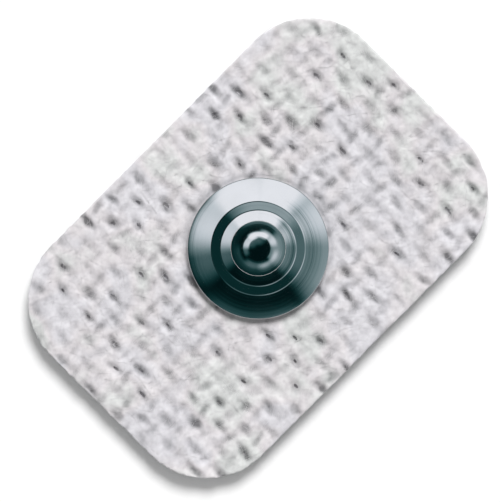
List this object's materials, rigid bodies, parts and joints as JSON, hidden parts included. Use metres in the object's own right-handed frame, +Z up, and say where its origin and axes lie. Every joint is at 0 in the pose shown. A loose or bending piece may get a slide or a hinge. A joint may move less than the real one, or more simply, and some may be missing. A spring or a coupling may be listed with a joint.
{
  "type": "ecg electrode",
  "caption": "Disposable ECG electrode: a white nonwoven pad with rounded corners, a clear gel underside and a metal snap stud at its centre.",
  "frame": {"origin": "on the snap stud's axis, in the plane of the release liner's underside, on which the electrode lies", "axes": "+Z up along the snap stud's axis, away from the skin side; +X along the pad's long side; +Y across it"},
  "size_m": [0.0314, 0.021, 0.0059],
  "materials": {
    "liner_film": "clear polyester film, glossy",
    "clear_gel": "clear conductive hydrogel, wet sheen",
    "clear_adhesive": "clear pressure-sensitive adhesive",
    "white_nonwoven": "white spunlaced nonwoven cloth, matt",
    "coated_plastic": "grey silver and silver chloride coat on moulded plastic",
    "nickel_plate": "bright nickel plate on drawn metal"
  },
  "bodies": {
    "root": {"release_liner": "liner_film", "hydrogel_pad": "clear_gel", "adhesive_coat": "clear_adhesive", "backing_cloth": "white_nonwoven", "sensor_eyelet": "coated_plastic", "snap_stud": "nickel_plate"}
  },
  "joints": []
}
